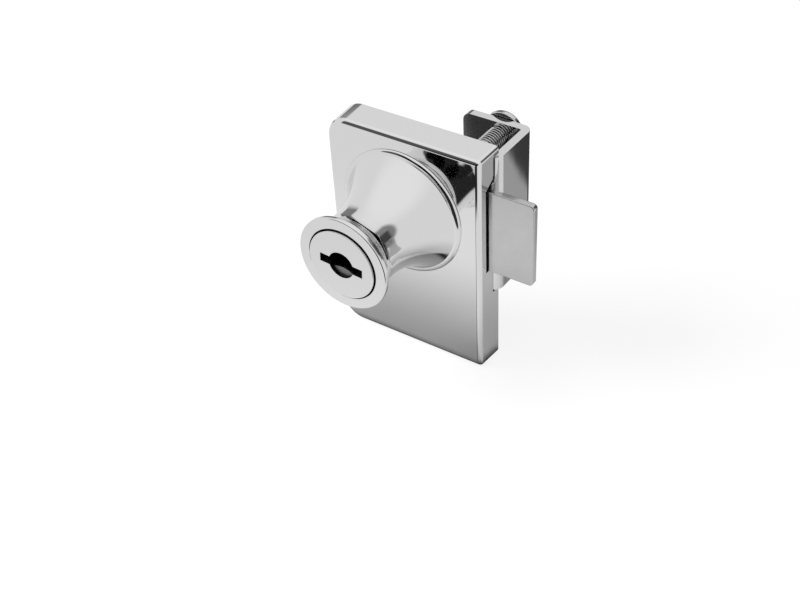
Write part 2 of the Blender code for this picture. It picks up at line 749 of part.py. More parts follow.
def make_wafer(index, axis):
    y, side = wafer_place(index), wafer_side(index)
    half = WAFER_THICKNESS / 2
    wafer = plate(f"wafer_{index + 1}", wafer_outline(), y - half, y + half)
    z = sorted((side * WINDOW_HALF_HEIGHT * 1.5, side * (WAFER_HALF_HEIGHT + LUG_HEIGHT)))
    lug = block(f"wafer_lug_{index}", (-LUG_WIDTH / 2, y - half, z[0]), (LUG_WIDTH / 2, y + half, z[1]))
    join(wafer, lug)
    low = (-WINDOW_HALF_WIDTH, y - 2 * half, -WINDOW_HALF_HEIGHT)
    window = block(f"wafer_window_{index}", low, (WINDOW_HALF_WIDTH, y + 2 * half, WINDOW_HALF_HEIGHT))
    cut(wafer, window)
    start = side * (LUG_WIDTH / 2 + SPRING_WIRE_R + RUN)
    end = side * (LUG_WIDTH / 2 + POCKET_LENGTH - SPRING_WIRE_R - RUN)
    centre = (y, side * (WAFER_HALF_HEIGHT + RUN + LUG_HEIGHT / 2))
    spring = coil_along_x(f"wafer_spring_{index + 1}", -start, -end, centre)
    tilt_with(axis, wafer, lug, window, spring)
    dress(wafer, (0.72, 0.55, 0.28), 0.3)
    return wafer


def coil_along_x(name, start, end, centre):
    steps = SPRING_TURNS * COIL_STEPS
    points = []
    for step in range(steps + 1):
        angle = 2 * math.pi * step / COIL_STEPS
        x = start + (end - start) * step / steps
        points.append((x, centre[0] + SPRING_R * math.cos(angle), centre[1] + SPRING_R * math.sin(angle)))
    coil = wire(name, points, SPRING_WIRE_R)
    coil.data.materials.append(finish_material(name, (0.5, 0.5, 0.52), 0.3, 1.0))
    return coil


def shutter_outline():
    """The flap seen from the front, from its hinge to its crowned top, with a corner cut for the spring."""
    crown = math.asin(SHUTTER_HALF / SHUTTER_CROWN_R)
    centre = SHUTTER_HEIGHT - SHUTTER_CROWN_R
    angles = [crown - 2 * crown * step / 8 for step in range(9)]
    top = [(SHUTTER_CROWN_R * math.sin(a), centre + SHUTTER_CROWN_R * math.cos(a)) for a in angles]
    shelf = KNUCKLE_R
    inner = SHUTTER_HALF - SHUTTER_SPRING_SPAN
    return [(-SHUTTER_HALF, 0), (inner, 0), (inner, shelf), (SHUTTER_HALF, shelf), *top]


def make_shutter(axis):
    hinge = stand("shutter_hinge", None, (0, SHUTTER_Y, -SHUTTER_DROP))
    front = -KNUCKLE_R + GAP / 3
    flap = plate("dust_shutter", shutter_outline(), front, front + SHUTTER_THICKNESS)
    inner = SHUTTER_HALF - SHUTTER_SPRING_SPAN
    knuckle = rod("shutter_knuckle", KNUCKLE_R, (-SHUTTER_HALF, 0, 0), (inner, 0, 0), 20)
    bore = rod("shutter_bore", SHUTTER_PIN_R + RUN, (-CHAMBER_HALF, 0, 0), (CHAMBER_HALF, 0, 0), 16)
    join(flap, knuckle)
    cut(flap, bore)
    half = SHUTTER_PIN_LENGTH / 2
    pin = rod("shutter_pin", SHUTTER_PIN_R, (-half, 0, 0), (half, 0, 0), 16)
    spring = make_shutter_spring(inner)
    tilt_with(axis, hinge)
    for piece in (flap, knuckle, bore, pin, spring):
        piece.parent = hinge
    dress(flap, (0.42, 0.42, 0.43), 0.35)
    dress(pin, (0.6, 0.6, 0.6), 0.3)
    return flap


def make_shutter_spring(inner):
    """A torsion coil on the pin, with one leg behind the flap and the other down in the pocket."""
    radius = KNUCKLE_R - 2 * SHUTTER_WIRE_R
    first, last = inner + GAP, SHUTTER_HALF - GAP / 2
    steps = SHUTTER_TURNS * COIL_STEPS
    points = []
    for step in range(steps + 1):
        angle = 2 * math.pi * step / COIL_STEPS
        x = first + (last - first) * step / steps
        points.append((x, radius * math.cos(angle), radius * math.sin(angle)))
    points.append((last, radius, SHUTTER_HEIGHT / 2))
    spring = wire("shutter_spring", points, SHUTTER_WIRE_R)
    spring.data.materials.append(finish_material("shutter_spring", (0.55, 0.55, 0.57), 0.3, 1.0))
    return spring


def make_cam():
    hub_r = BARREL_BORE - RUN
    profile = [
        (0, CAM_FRONT),
        (hub_r, CAM_FRONT),
        (hub_r, CAM_STEP),
        (CAM_R, CAM_STEP),
        (CAM_R, CAM_REAR),
        (0, CAM_REAR),
    ]
    cam = turned("drive_cam", profile)
    outer, inner, sunk = CAM_R - GAP, hub_r - GAP, CAM_STEP + GAP
    section = [(outer, CAM_FRONT), (outer, sunk), (inner, sunk), (inner, CAM_FRONT)]
    stop_ring = turned("stop_ring", section, closed=True)
    free_side = STOP_WIDTH / 2 + GAP
    low = (-CAM_R - PAST, CAM_FRONT - PAST, -CAM_R - PAST)
    cut(stop_ring, block("stop_track", low, (free_side, CAM_STEP + PAST, CAM_R + PAST)))
    join(cam, stop_ring)
    pin_rear = -SHEET - PIN_PLAY
    pin = rod("drive_pin", DRIVE_PIN_R, (PIN_ORBIT, CAM_REAR - GAP, 0), (PIN_ORBIT, pin_rear, 0))
    join(cam, pin)
    cut(cam, *tail_hole())
    dress(cam, (0.6, 0.6, 0.62), 0.35)
    return cam


def tail_hole():
    """The hole with two flats that fits the plug's tail. It is tilted with the cylinder."""
    hole_r = TAIL_R + RUN
    hole = rod("tail_hole", hole_r, (0, CAM_FRONT - PAST, 0), (0, CAM_REAR + PAST, 0))
    flat = TAIL_R - TAIL_FLAT + RUN
    for name, sign in (("left", -1), ("right", 1)):
        x = sorted((sign * flat, sign * (hole_r + PAST)))
        low = (x[0], CAM_FRONT - 2 * PAST, -hole_r - PAST)
        cut(hole, block(f"hole_flat_{name}", low, (x[1], CAM_REAR + 2 * PAST, hole_r + PAST)))
    return [hole]


def make_cam_clip(axis):
    inner = TAIL_R - CLIP_GROOVE + RUN
    ring = turned(
        "cam_clip",
        [(CLIP_R, CLIP_FRONT), (CLIP_R, CLIP_REAR), (inner, CLIP_REAR), (inner, CLIP_FRONT)],
        SMALL_TURN_STEPS,
        closed=True,
    )
    cut(ring, ring_opening("cam_clip_opening", CLIP_R, CLIP_OPENING, CLIP_FRONT, CLIP_REAR))
    tilt_with(axis, ring)
    dress(ring, (0.32, 0.32, 0.34), 0.4)
    return ring


def make_bolt():
    corners = [
        (BOLT_TAIL, BOLT_BOTTOM, BOLT_CORNER),
        (BOLT_NOSE, BOLT_BOTTOM, BOLT_CORNER),
        (BOLT_NOSE, BOLT_TOP, BOLT_CORNER),
        (BOLT_TAIL, BOLT_TOP, BOLT_CORNER),
    ]
    bolt = plate("bolt", rounded(corners), BOLT_FRONT, BOLT_REAR)
    left, right = PIN_ORBIT - SLOT_HALF_WIDTH, PIN_ORBIT + SLOT_HALF_WIDTH
    high = SLOT_HALF_HEIGHT
    slot_corners = [(left, -high), (right, -high), (right, high), (left, high)]
    slot = rounded([(x, z, BOLT_CORNER) for x, z in slot_corners])
    cut(bolt, plate("drive_slot", slot, BOLT_FRONT - PAST, BOLT_REAR + PAST))
    dress(bolt, (0.72, 0.72, 0.72), 0.3)
    return bolt


def bracket_outline():
    """The folded sheet seen from above."""
    leg_end = LEFT + WALL + FRONT_LEG_INSET
    rear_end = WEB_OUTER - REAR_LEG
    outer = BEND_R + SHEET
    return rounded(
        [
            (leg_end, -SHEET, 0),
            (WEB_OUTER, -SHEET, outer),
            (WEB_OUTER, GLASS_GAP + SHEET, outer),
            (rear_end, GLASS_GAP + SHEET, 0),
            (rear_end, GLASS_GAP, 0),
            (WEB_INNER, GLASS_GAP, BEND_R),
            (WEB_INNER, 0, BEND_R),
            (leg_end, 0, 0),
        ]
    )


def make_bracket():
    bracket = plate("bracket", bracket_outline(), BRACKET_BOTTOM, BRACKET_TOP, "Z")
    ends = (LEFT + WALL + FRONT_LEG_INSET, WEB_OUTER - REAR_LEG)

    def across_a_leg_end(a, b):
        return same(a.z, b.z) and any(same(a.x, x) and same(b.x, x) for x in ends)

    round_edges(bracket, LEG_CORNER, 4, across_a_leg_end)
    for index, (x, z) in enumerate(boss_places()):
        cut(bracket, countersink(f"countersink_{index}", x, z))
    hole_r = CLAMP_SCREW_R + GAP
    for name, z in CLAMP_HEIGHTS.items():
        start, end = (CLAMP_X, GLASS_GAP - PAST, z), (CLAMP_X, GLASS_GAP + SHEET + PAST, z)
        cut(bracket, rod(f"clamp_hole_{name}", hole_r, start, end))
    dress(bracket, (0.74, 0.74, 0.75), 0.14)


def countersink(name, x, z):
    head_r, shank_r = BRACKET_SCREW_HEAD_R + GAP, BRACKET_SCREW_R + GAP
    cone = head_r - shank_r
    profile = [
        (0, -SHEET - PAST),
        (shank_r, -SHEET - PAST),
        (shank_r, -cone),
        (head_r + PAST, PAST),
        (0, PAST),
    ]
    tool = turned(name, profile, SMALL_TURN_STEPS)
    tool.location = (x, 0, z)
    return tool


def make_bracket_screws():
    cone = BRACKET_SCREW_HEAD_R - BRACKET_SCREW_R
    rear, front = -BRACKET_SCREW_SUNK, -BRACKET_SCREW_SUNK - BRACKET_SCREW_LENGTH
    tip = BRACKET_SCREW_R / 3
    profile = [
        (0, front),
        (BRACKET_SCREW_R - tip, front),
        (BRACKET_SCREW_R, front + tip),
        (BRACKET_SCREW_R, rear - cone - BRACKET_SCREW_SUNK),
        (BRACKET_SCREW_HEAD_R, rear - BRACKET_SCREW_SUNK),
        (BRACKET_SCREW_HEAD_R, rear),
        (0, rear),
    ]
    for index, (x, z) in enumerate(boss_places()):
        screw = turned(f"bracket_screw_{index + 1}", profile, SMALL_TURN_STEPS)
        screw.location = (x, 0, z)
        dress(screw, (0.6, 0.6, 0.62), 0.25)


def make_clamp(name, z):
    """One clamp screw with the cap on its tip."""
    seat = GLASS_GAP + SHEET + GAP
    shank_front = CAP_REAR + GAP
    dome = [
        (CLAMP_HEAD_R * math.cos(a), seat + CLAMP_HEAD_HEIGHT * (0.35 + 0.65 * math.sin(a)))
        for a in (math.radians(18 * step) for step in range(5))
    ]
    profile = [
        (0, shank_front - CLAMP_TIP),
        (CLAMP_TIP_R, shank_front - CLAMP_TIP),
        (CLAMP_TIP_R, shank_front),
        (CLAMP_SCREW_R, shank_front),
        (CLAMP_SCREW_R, seat),
        (CLAMP_HEAD_R, seat),
        *dome,
        (0, seat + CLAMP_HEAD_HEIGHT),
    ]
    screw = turned(f"clamp_screw_{name}", profile, 32)
    screw.location = (CLAMP_X, 0, z)
    cut(screw, *cross_recess(name, z, seat + CLAMP_HEAD_HEIGHT))
    dress(screw, (0.66, 0.66, 0.68), 0.18)
    socket_floor = shank_front - CLAMP_TIP - GAP
    socket_r = CLAMP_TIP_R + RUN
    profile = [
        (0, CAP_STANDOFF),
        (CAP_R, CAP_STANDOFF),
        (CAP_R, CAP_REAR),
        (socket_r, CAP_REAR),
        (socket_r, socket_floor),
        (0, socket_floor),
    ]
    cap = turned(f"pressure_cap_{name}", profile, 32)
    cap.location = (CLAMP_X, 0, z)
    dress(cap, (0.06, 0.06, 0.065), 0.5, 0.0)


def cross_recess(name, z, top):
    """A cross for the driver, sunk in the head's crown."""
    half, span = RECESS_WIDTH / 2, RECESS_SPAN / 2
    cross = [(half, half), (half, span), (-half, span), (-half, half), (-span, half), (-span, -half)]
    cross += [(-x, -y) for x, y in cross]
    tool = plate(f"recess_{name}", cross, top - RECESS_DEPTH, top + PAST)
    tool.location += Vector((CLAMP_X, 0, z))
    tool.rotation_euler.y = RECESS_TURN
    return [tool]


def make_lock():
    axis = stand("cylinder_axis", None, rotation=(0, CYLINDER_TILT, 0))
    make_cover()
    make_barrel(axis)
    make_circlip()
    make_plug(axis)
    for index in range(WAFER_COUNT):
        make_wafer(index, axis)
    make_shutter(axis)
    make_cam()
    make_cam_clip(axis)
    make_bolt()
    make_bracket()
    make_bracket_screws()
    for name, z in CLAMP_HEIGHTS.items():
        make_clamp(name, z)


make_lock()
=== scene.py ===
"""Looks of a clamp-on lock for double glass doors: polished zinc, folded sheet and plated steel in a white studio."""

import math

import bmesh
import bpy
from mathutils import Matrix, Vector


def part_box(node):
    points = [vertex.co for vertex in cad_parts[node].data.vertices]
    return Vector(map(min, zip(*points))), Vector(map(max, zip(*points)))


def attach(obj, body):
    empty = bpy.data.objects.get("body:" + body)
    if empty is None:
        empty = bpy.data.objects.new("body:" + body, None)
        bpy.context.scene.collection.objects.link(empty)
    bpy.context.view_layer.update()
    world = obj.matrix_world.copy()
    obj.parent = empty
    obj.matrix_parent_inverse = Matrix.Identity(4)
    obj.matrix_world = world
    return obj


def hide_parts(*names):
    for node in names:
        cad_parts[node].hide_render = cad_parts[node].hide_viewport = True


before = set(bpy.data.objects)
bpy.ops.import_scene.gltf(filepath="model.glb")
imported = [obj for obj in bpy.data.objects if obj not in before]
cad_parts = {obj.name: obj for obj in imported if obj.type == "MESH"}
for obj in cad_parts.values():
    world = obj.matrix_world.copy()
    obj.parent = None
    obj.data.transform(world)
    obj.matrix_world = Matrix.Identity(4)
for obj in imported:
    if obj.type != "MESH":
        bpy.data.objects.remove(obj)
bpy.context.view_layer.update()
MM = 0.001
FAR = 100.0

# Sizes in millimetres, as the solids have them
COVER_LEFT, COVER_RIGHT = -20.6, 21.5
COVER_TOP, COVER_BOTTOM = 20.25, -39.75
COVER_FRONT, COVER_INSIDE = -7.8, -6.3
KNOB_FRONT = -31.6
PLUG_FRONT = KNOB_FRONT - 0.45
CHAMBER_FRONT = PLUG_FRONT + 0.5
HINGE_Y, HINGE_Z = CHAMBER_FRONT + 1.075, -3.75
CHAMBER_REAR = HINGE_Y + 3.0
BORE_SHOULDER = -12.9
SWEEP = (9.5, KNOB_FRONT + 8.0, 15.25, COVER_FRONT - 0.85)
CYLINDER_TILT = math.radians(4)
BOLT_MIDDLE = -0.25
BRACKET_TOP, BRACKET_BOTTOM = 18.45, -18.95
SHEET = 2.09
JAW = 11.67
WEB_OUTER = 23.01
SCREW_X = 14.61
SCREW_HEIGHTS = (14.75, -15.25)
BOSSES = [(x, z) for x in (SCREW_X, -12.0) for z in SCREW_HEIGHTS]
WAFER_PITCH = (BORE_SHOULDER - CHAMBER_REAR - 0.3) / 5
WAFER_PLACES = [CHAMBER_REAR + 0.3 + WAFER_PITCH * (index + 0.5) for index in range(5)]
THREAD_PITCH = 0.8

# Heading, height, inner and outer angle in degrees, and level of each dark round in the tent's opening
OPENING = (
    (-62, 3, 20, 25, 0.02),
    (-81, 22, 20, 25, 0.02),
    (-103, 20, 15, 19, 0.03),
    (48, 22, 13, 21, 0.3),
    (-122, 27, 18, 22, 0.12),
)


# ---- small modelling helpers


def clear_selection():
    if bpy.context.mode != "OBJECT":
        bpy.ops.object.mode_set(mode="OBJECT")
    bpy.ops.object.select_all(action="DESELECT")


def only(piece):
    clear_selection()
    piece.select_set(True)
    bpy.context.view_layer.objects.active = piece


def settle(piece, name):
    """Names a new piece and moves its place into its mesh."""
    piece.name = piece.data.name = name
    only(piece)
    bpy.ops.object.transform_apply(location=True, rotation=True, scale=True)
    return piece


def cuboid(name, low, high):
    clear_selection()
    low, high = Vector(low) * MM, Vector(high) * MM
    bpy.ops.mesh.primitive_cube_add(size=1, location=(low + high) / 2)
    bpy.context.object.scale = high - low
    return settle(bpy.context.object, name)


def pin(name, radius, start, end, steps=96):
    """A round bar between two points."""
    clear_selection()
    start, end = Vector(start) * MM, Vector(end) * MM
    bpy.ops.mesh.primitive_cylinder_add(vertices=steps, radius=radius * MM, depth=(end - start).length)
    piece = bpy.context.object
    piece.rotation_euler = (end - start).to_track_quat("Z", "Y").to_euler()
    piece.location = (start + end) / 2
    return settle(piece, name)


def trace(points):
    """Draws a line through the points, from one vertex that is extruded along, and stays in edit mode."""
    clear_selection()
    bpy.ops.mesh.primitive_plane_add(size=MM)
    bpy.ops.object.mode_set(mode="EDIT")
    bpy.ops.mesh.select_mode(type="VERT")
    bpy.ops.mesh.select_all(action="SELECT")
    bpy.ops.mesh.merge(type="CENTER")
    bpy.ops.transform.translate(value=Vector(points[0]) * MM)
    for here, there in zip(points, points[1:]):
        step = (Vector(there) - Vector(here)) * MM
        bpy.ops.mesh.extrude_region_move(TRANSFORM_OT_translate={"value": step})
    return bpy.context.object


def turned(name, profile, centre=(0, 0), steps=192):
    """A turned piece about a line along Y through centre, from (radius, y) points."""
    x, z = centre
    piece = trace([(x + radius, y, z) for radius, y in profile])
    bpy.ops.mesh.select_all(action="SELECT")
    bpy.ops.mesh.remove_doubles(threshold=1e-7)
    axis_point = (x * MM, 0, z * MM)
    bpy.ops.mesh.spin(steps=steps, angle=2 * math.pi, center=axis_point, axis=(0, 1, 0))
    close_skin()
    return settle(piece, name)


def close_skin():
    """Merges what meets and turns the faces outwards."""
    bpy.ops.mesh.select_all(action="SELECT")
    bpy.ops.mesh.remove_doubles(threshold=2e-7)
    bpy.ops.mesh.normals_make_consistent(inside=False)
    bpy.ops.object.mode_set(mode="OBJECT")


def pick_edges(piece, wanted):
    """Selects the edges whose two ends, in millimetres, satisfy the test, and stays in edit mode."""
    only(piece)
    bpy.ops.object.mode_set(mode="EDIT")
    bpy.ops.mesh.select_mode(type="EDGE")
    bpy.ops.mesh.select_all(action="DESELECT")
    shape = bmesh.from_edit_mesh(piece.data)
    for edge in shape.edges:
        a, b = (v.co / MM for v in edge.verts)
        edge.select_set(wanted(a, b))
    bmesh.update_edit_mesh(piece.data)


def round_off(piece, radius, segments, wanted, fullness=0.5):
    pick_edges(piece, wanted)
    bpy.ops.mesh.bevel(offset=radius * MM, segments=segments, profile=fullness, clamp_overlap=False)
    bpy.ops.object.mode_set(mode="OBJECT")


def near(a, b):
    return abs(a - b) < 0.002


def along_y(x, z):
    """Picks the edges that run along Y at one place."""
    return lambda a, b: all(near(p.x, x) and near(p.z, z) for p in (a, b)) and not near(a.y, b.y)


def along_z(x, y):
    return lambda a, b: all(near(p.x, x) and near(p.y, y) for p in (a, b)) and not near(a.z, b.z)


def finish_with(piece, kind, **settings):
    """Adds a modifier and applies it."""
    only(piece)
    step = piece.modifiers.new(kind, kind)
    for key, value in settings.items():
        setattr(step, key, value)
    bpy.ops.object.modifier_apply(modifier=step.name)


def combine(piece, others, operation):
    for other in others:
        finish_with(piece, "BOOLEAN", operation=operation, solver="EXACT", object=other)
        bpy.data.objects.remove(other)


def cut(piece, *others):
    combine(piece, others, "DIFFERENCE")


def join(piece, *others):
    combine(piece, others, "UNION")


def break_edges(piece, width, angle=50, segments=2):
    """The small radius that polishing leaves on every sharp edge."""
    finish_with(
        piece,
        "BEVEL",
        width=width * MM,
        segments=segments,
        limit_method="ANGLE",
        angle_limit=math.radians(angle),
        loop_slide=False,
    )


def smooth(piece, angle=32):
    only(piece)
    bpy.ops.object.shade_smooth_by_angle(angle=math.radians(angle))
    finish_with(piece, "WEIGHTED_NORMAL", mode="FACE_AREA", weight=50, keep_sharp=True)
    return piece


def arc(centre, radius, start, end, steps):
    """(radius, y) points of an arc between two angles in degrees, counted from the radial direction."""
    angles = [math.radians(start + (end - start) * step / steps) for step in range(steps + 1)]
    return [(centre[0] + radius * math.cos(a), centre[1] + radius * math.sin(a)) for a in angles]


def tangent_arc(neck_r, neck_y, end_r, end_y, steps):
    """(radius, y) points of the arc that leaves the neck along its side and reaches the end point."""
    rise, run = end_r - neck_r, end_y - neck_y
    arc_r = (rise**2 + run**2) / (2 * rise)
    whole = math.asin(run / arc_r)
    angles = [whole * step / steps for step in range(steps + 1)]
    return [(neck_r + arc_r * (1 - math.cos(a)), neck_y + arc_r * math.sin(a)) for a in angles]


# ---- finishes


def srgb(code):
    """A hex colour, as it is seen, turned to linear."""
    parts = [int(code[i : i + 2], 16) / 255 for i in (1, 3, 5)]
    return (*[p / 12.92 if p <= 0.04045 else ((p + 0.055) / 1.055) ** 2.4 for p in parts], 1)


def blank(name):
    material = bpy.data.materials.new(name)
    material.use_nodes = True
    tree = material.node_tree
    return material, tree, tree.nodes["Principled BSDF"]


def node(tree, kind, inputs=None, **settings):
    """Adds a node with its settings, and sets or links its inputs."""
    made = tree.nodes.new(kind)
    for key, value in settings.items():
        setattr(made, key, value)
    for key, value in (inputs or {}).items():
        if isinstance(value, bpy.types.NodeSocket):
            tree.links.new(value, made.inputs[key])
        else:
            made.inputs[key].default_value = value
    return made


def polished_chrome(name, tone, low, high, waviness):
    """Bright chromium plate on a buffed casting: sharp reflections that bend a little with the casting."""
    material, tree, shader = blank(name)
    shader.inputs["Base Color"].default_value = srgb(tone)
    shader.inputs["Metallic"].default_value = 1.0
    place = node(tree, "ShaderNodeTexCoord").outputs["Object"]
    # Buffing leaves soft cloudy areas some 8 mm across
    clouds = node(tree, "ShaderNodeTexNoise", {"Vector": place, "Scale": 125.0, "Detail": 3.0})
    spread = node(tree, "ShaderNodeMapRange", {"Value": clouds.outputs["Fac"], "From Min": 0.3, "From Max": 0.7})
    spread.inputs["To Min"].default_value = low
    spread.inputs["To Max"].default_value = high
    tree.links.new(spread.outputs["Result"], shader.inputs["Roughness"])
    # The cast surface under the plate undulates over 5 mm
    swell = node(tree, "ShaderNodeTexNoise", {"Vector": place, "Scale": 190.0, "Detail": 1.0})
    relief = node(tree, "ShaderNodeBump", {"Height": swell.outputs["Fac"], "Strength": 1.0, "Distance": waviness})
    tree.links.new(relief.outputs["Normal"], shader.inputs["Normal"])
    return material


def plated_steel(name, tone, roughness, grain):
    """Bright zinc plate on turned or stamped steel: soft reflections over a fine grain."""
    material, tree, shader = blank(name)
    shader.inputs["Metallic"].default_value = 1.0
    place = node(tree, "ShaderNodeTexCoord").outputs["Object"]
    # Grain of 0.15 mm, the finest that shows here
    grit = node(tree, "ShaderNodeTexNoise", {"Vector": place, "Scale": 6500.0, "Detail": 4.0})
    patches = node(tree, "ShaderNodeTexNoise", {"Vector": place, "Scale": 300.0, "Detail": 3.0})
    tint = node(tree, "ShaderNodeMix", {"Factor": patches.outputs["Fac"]}, data_type="RGBA")
    bright = srgb(tone)
    tint.inputs["A"].default_value = (*[c * 0.86 for c in bright[:3]], 1)
    tint.inputs["B"].default_value = bright
    tree.links.new(tint.outputs["Result"], shader.inputs["Base Color"])
    spread = node(tree, "ShaderNodeMapRange", {"Value": grit.outputs["Fac"]})
    spread.inputs["To Min"].default_value = roughness * 0.7
    spread.inputs["To Max"].default_value = roughness * 1.3
    tree.links.new(spread.outputs["Result"], shader.inputs["Roughness"])
    relief = node(tree, "ShaderNodeBump", {"Height": grit.outputs["Fac"], "Strength": 1.0, "Distance": grain})
    tree.links.new(relief.outputs["Normal"], shader.inputs["Normal"])
    return material


def moulded_plastic(name, tone, roughness):
    """Black moulded acetal: an even matt skin with a spark-eroded texture."""
    material, tree, shader = blank(name)
    shader.inputs["Roughness"].default_value = roughness
    place = node(tree, "ShaderNodeTexCoord").outputs["Object"]
    grit = node(tree, "ShaderNodeTexNoise", {"Vector": place, "Scale": 5000.0, "Detail": 2.0})
    tint = node(tree, "ShaderNodeMix", {"Factor": grit.outputs["Fac"]}, data_type="RGBA")
    dark = srgb(tone)
    tint.inputs["A"].default_value = dark
    tint.inputs["B"].default_value = (*[c * 1.5 for c in dark[:3]], 1)
    tree.links.new(tint.outputs["Result"], shader.inputs["Base Color"])
    relief = node(tree, "ShaderNodeBump", {"Height": grit.outputs["Fac"], "Strength": 0.6, "Distance": 0.00002})
    tree.links.new(relief.outputs["Normal"], shader.inputs["Normal"])
    return material


def dark_zinc_and_painted_shade(name, tone, roughness):
    """Zinc as it left the die, under old oil where no plating reaches, inside the cover; the same dull, dark, a little
    pitted finish is painted shade in the keyway and in the thread roots.
    """
    material, tree, shader = blank(name)
    shader.inputs["Metallic"].default_value = 0.6
    shader.inputs["Roughness"].default_value = roughness
    place = node(tree, "ShaderNodeTexCoord").outputs["Object"]
    # Darker patches of 2 mm: oil inside the cover, uneven painted shade in the keyway and the thread roots
    dark_patches = node(tree, "ShaderNodeTexNoise", {"Vector": place, "Scale": 500.0, "Detail": 4.0})
    tint = node(tree, "ShaderNodeMix", {"Factor": dark_patches.outputs["Fac"]}, data_type="RGBA")
    bare = srgb(tone)
    tint.inputs["A"].default_value = (*[c * 0.5 for c in bare[:3]], 1)
    tint.inputs["B"].default_value = bare
    tree.links.new(tint.outputs["Result"], shader.inputs["Base Color"])
    pits = node(tree, "ShaderNodeTexNoise", {"Vector": place, "Scale": 2500.0, "Detail": 3.0})
    relief = node(tree, "ShaderNodeBump", {"Height": pits.outputs["Fac"], "Strength": 0.8, "Distance": 0.00002})
    tree.links.new(relief.outputs["Normal"], shader.inputs["Normal"])
    return material


COVER_CHROME = polished_chrome("chrome_on_cast_cover", "#E6E6E6", 0.03, 0.07, 0.000004)
PLUG_CHROME = polished_chrome("chrome_on_plug_face", "#E4E4E4", 0.06, 0.1, 0.000004)
SHEET_CHROME = polished_chrome("bright_plate_on_sheet", "#E0E0E0", 0.05, 0.1, 0.00001)
BOLT_STEEL = plated_steel("satin_plate_on_bolt", "#D0D0D0", 0.2, 0.000004)
SCREW_ZINC = plated_steel("zinc_on_screws", "#E2E2E2", 0.14, 0.000003)
# Dull dark metal: real bare zinc inside the cover, painted shade in the thread roots and in the keyway
THREAD_ROOT_SHADE = dark_zinc_and_painted_shade("painted_shade_in_thread_roots", "#606060", 0.5)
COVER_INSIDE_ZINC = dark_zinc_and_painted_shade("bare_zinc_inside_cover", "#565654", 0.55)
KEYWAY_SHADE = dark_zinc_and_painted_shade("painted_shade_in_keyway", "#1C1C1C", 0.6)
SPRING_STEEL = plated_steel("oiled_spring_steel", "#8A8A8C", 0.3, 0.000004)
SHUTTER_STEEL = plated_steel("grained_shutter_steel", "#8C8C8C", 0.4, 0.00003)
BARREL_ZINC = plated_steel("bare_cast_zinc", "#B4B0A8", 0.4, 0.00001)
WAFER_BRASS = plated_steel("stamped_brass", "#D2B06A", 0.28, 0.000006)
CAP_PLASTIC = moulded_plastic("black_acetal", "#1E1E20", 0.5)


def wear(piece, material, other=None, where=None):
    """Gives a piece its material, and another one to the faces whose middle, in millimetres, passes the test."""
    piece.data.materials.clear()
    piece.data.materials.append(material)
    if other:
        piece.data.materials.append(other)
        for polygon in piece.data.polygons:
            polygon.material_index = int(where(polygon.center / MM))


# ---- the cast cover with its knob


def knob_outside():
    rim_rear = KNOB_FRONT + 1.3
    flare = tangent_arc(9.5, -(rim_rear + 4.6), 11.63, -rim_rear, 24)
    return [
        (0, KNOB_FRONT),
        *arc((11.63, KNOB_FRONT + 0.3), 0.3, -90, 0, 6),
        *arc((11.63, rim_rear - 0.3), 0.3, 0, 60, 4),
        *[(r, -y) for r, y in reversed(flare)][1:],
        *tangent_arc(*SWEEP, 48),
        *[(15.25 + 1.3 * math.sin(a), COVER_FRONT - 0.85 * math.cos(a)) for a in quarter_steps(12)],
        (16.4, COVER_FRONT + 0.6),
        (0, COVER_FRONT + 0.6),
    ]


def quarter_steps(count):
    return [math.pi / 2 * step / count for step in range(1, count + 1)]


def knob_inside():
    hollow = [(r - 1.5, y) for r, y in tangent_arc(*SWEEP, 24) if y > -12.1]
    return [
        (0, KNOB_FRONT - 1),
        (9.25, KNOB_FRONT - 1),
        (9.25, KNOB_FRONT),
        (9.13, KNOB_FRONT + 0.12),
        (9.13, -27.15),
        (8.15, -27.15),
        (8.15, BORE_SHOULDER),
        (hollow[0][0] - 0.35, BORE_SHOULDER),
        *hollow,
        (13.7, COVER_INSIDE + 1),
        (0, COVER_INSIDE + 1),
    ]


def side_opening():
    """Room in the right wall for the bracket's leg and, in front of it, for the bolt."""
    leg = cuboid("leg_room", (COVER_RIGHT - 1.8, -SHEET - 0.3, BRACKET_BOTTOM - 0.3), (30, 1, BRACKET_TOP + 0.3))
    top, bottom = BOLT_MIDDLE + 11.45, BOLT_MIDDLE - 11.45
    slot = cuboid("bolt_room", (COVER_RIGHT - 1.8, -5.25, bottom), (30, -2, top))
    slope = cuboid("slope_room", (COVER_RIGHT - 1.8, -5.25, top - 1), (30, -2, top))
    only(slope)
    bpy.ops.object.mode_set(mode="EDIT")
    bpy.ops.mesh.select_all(action="DESELECT")
    shape = bmesh.from_edit_mesh(slope.data)
    for vertex in shape.verts:
        vertex.select_set(vertex.co.z > (top - 0.5) * MM and vertex.co.y > -3 * MM)
    bmesh.update_edit_mesh(slope.data)
    bpy.ops.transform.translate(value=(0, 0, 2.1 * 2.86 / 2.47 * MM))
    bpy.ops.object.mode_set(mode="OBJECT")
    join(leg, slot, slope)
    return leg


